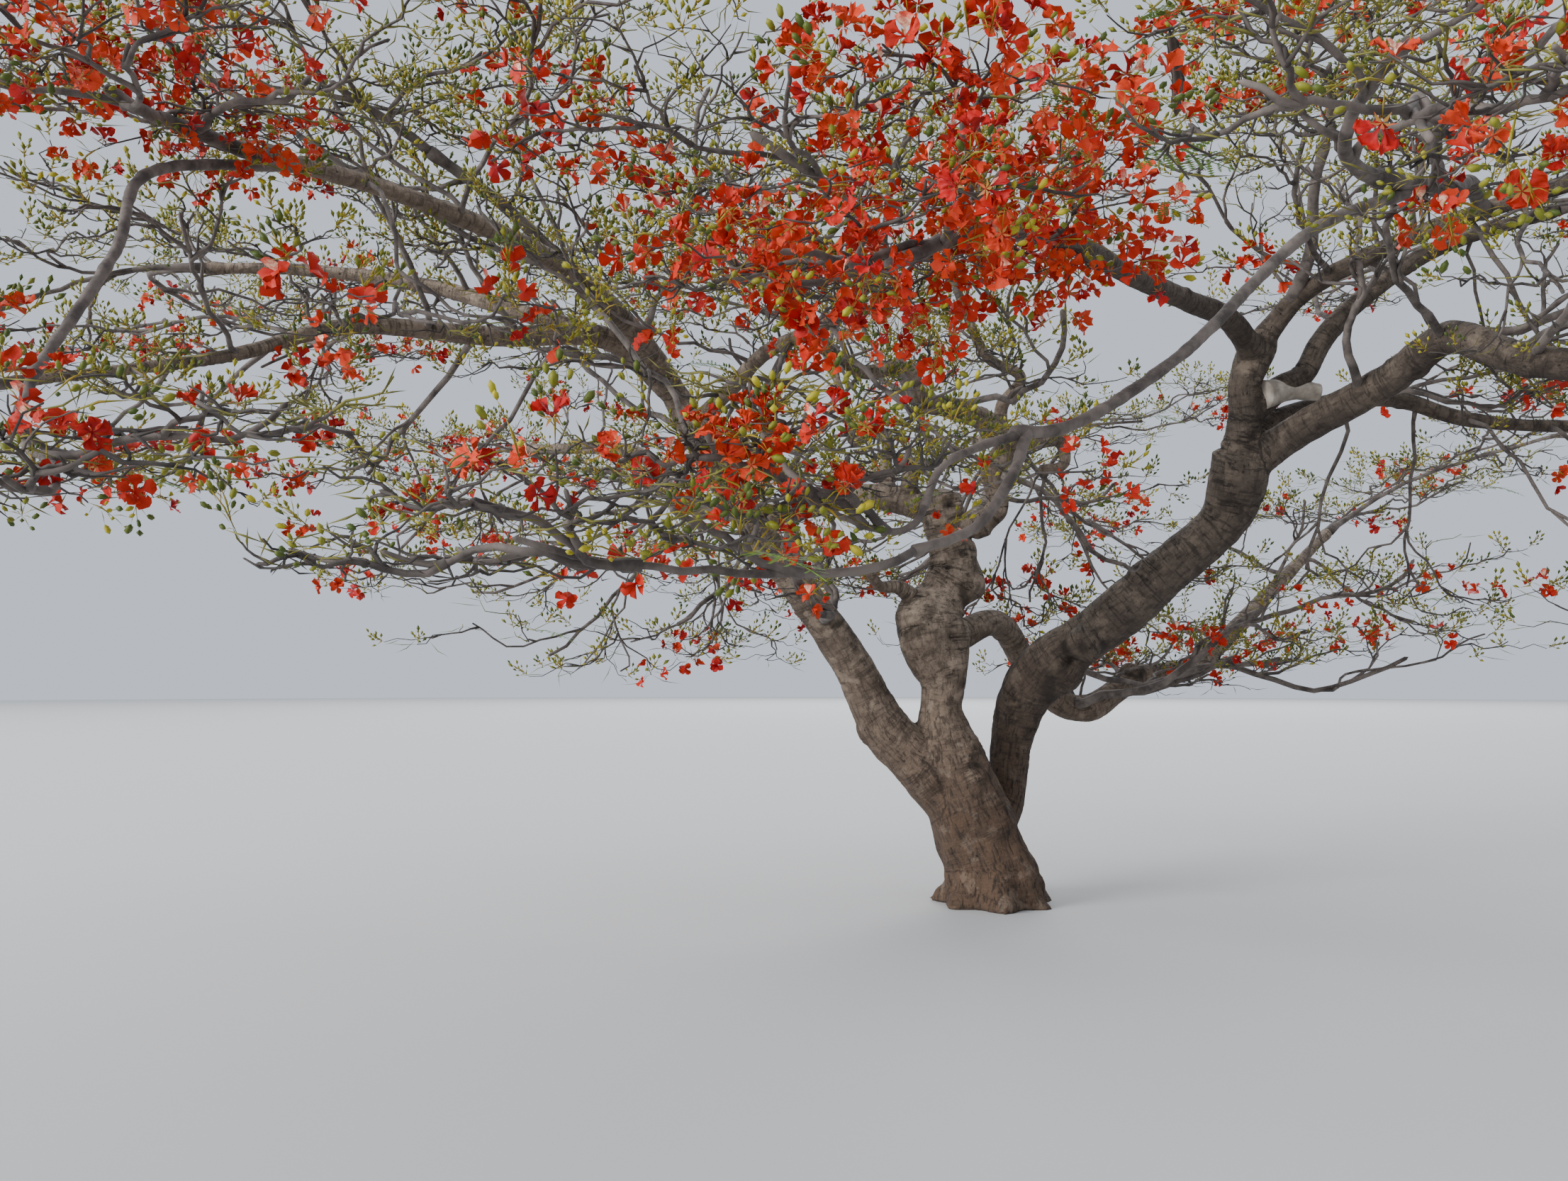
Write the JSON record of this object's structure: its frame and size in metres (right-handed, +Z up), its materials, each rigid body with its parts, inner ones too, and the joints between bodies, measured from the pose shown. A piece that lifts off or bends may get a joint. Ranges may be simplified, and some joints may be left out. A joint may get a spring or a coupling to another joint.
{
  "type": "flame tree",
  "caption": "Whole flame tree in blossom: short leaning trunk with a low fork, crooked boughs and a wide, low, umbrella-shaped crown of open twigs with scarlet blossom and green buds.",
  "frame": {"origin": "middle of the flat cut under the trunk, at ground level", "axes": "+Z up; +X to the right and +Y away from someone who looks at the tree as the picture does"},
  "size_m": [15.5421, 14.2022, 5.9179],
  "materials": {
    "trunk_bark": "warm grey-brown bark, smooth between fine wrinkles, knots and old scars",
    "bough_bark": "grey bark with fine cross wrinkles, darker lichen on the upper side",
    "twig_bark": "thin dark grey-brown twigs",
    "blossom": "thin soft scarlet petals, one of each flower streaked pale",
    "buds": "green and yellow-green buds and stalks",
    "leaves": "fresh green ferny leaves",
    "pod": "old black-brown woody seed pod"
  },
  "bodies": {
    "root": {"trunk": "trunk_bark", "left_bough": "bough_bark", "left_upper_bough": "bough_bark", "left_low_bough": "bough_bark", "left_middle_bough": "bough_bark", "left_drooping_limb": "bough_bark", "left_crossing_limb": "bough_bark", "back_left_bough": "bough_bark", "crooked_arm": "bough_bark", "sawn_stub": "bough_bark", "elbow_arm": "bough_bark", "long_arm": "bough_bark", "hooked_arm": "bough_bark", "forked_arm": "bough_bark", "back_right_bough": "bough_bark", "broken_limb": "bough_bark", "back_bough": "bough_bark", "right_bough": "bough_bark", "right_upright_bough": "bough_bark", "right_front_bough": "bough_bark", "right_upper_bough": "bough_bark", "right_far_bough": "bough_bark", "right_sawn_stub": "bough_bark", "right_vertical_limb": "bough_bark", "right_arch_bough": "bough_bark", "right_low_bough": "bough_bark", "near_bough": "bough_bark", "sweeping_limb": "bough_bark", "low_sweeping_limb": "bough_bark", "low_forked_limb": "bough_bark", "right_hanging_limb": "bough_bark", "centre_front_blossom": "blossom", "upper_left_blossom": "blossom", "low_left_blossom": "blossom", "low_front_blossom": "blossom", "low_sweep_blossom": "blossom", "right_near_blossom": "blossom", "right_hanging_blossom": "blossom", "top_centre_spray": "buds", "top_left_spray": "buds", "left_front_spray": "buds", "left_side_spray": "buds", "left_back_spray": "buds", "back_left_spray": "buds", "back_left_far_spray": "buds", "inner_left_spray": "buds", "inner_back_spray": "buds", "inner_front_spray": "buds", "crown_top_spray": "buds", "back_right_spray": "buds", "right_back_spray": "buds", "back_spray": "buds", "back_inner_spray": "buds", "right_front_spray": "buds", "right_side_spray": "buds", "right_upper_spray": "buds", "front_right_blossom": "blossom", "right_far_spray": "buds", "inner_right_spray": "buds", "top_right_spray": "buds"}
  },
  "joints": []
}
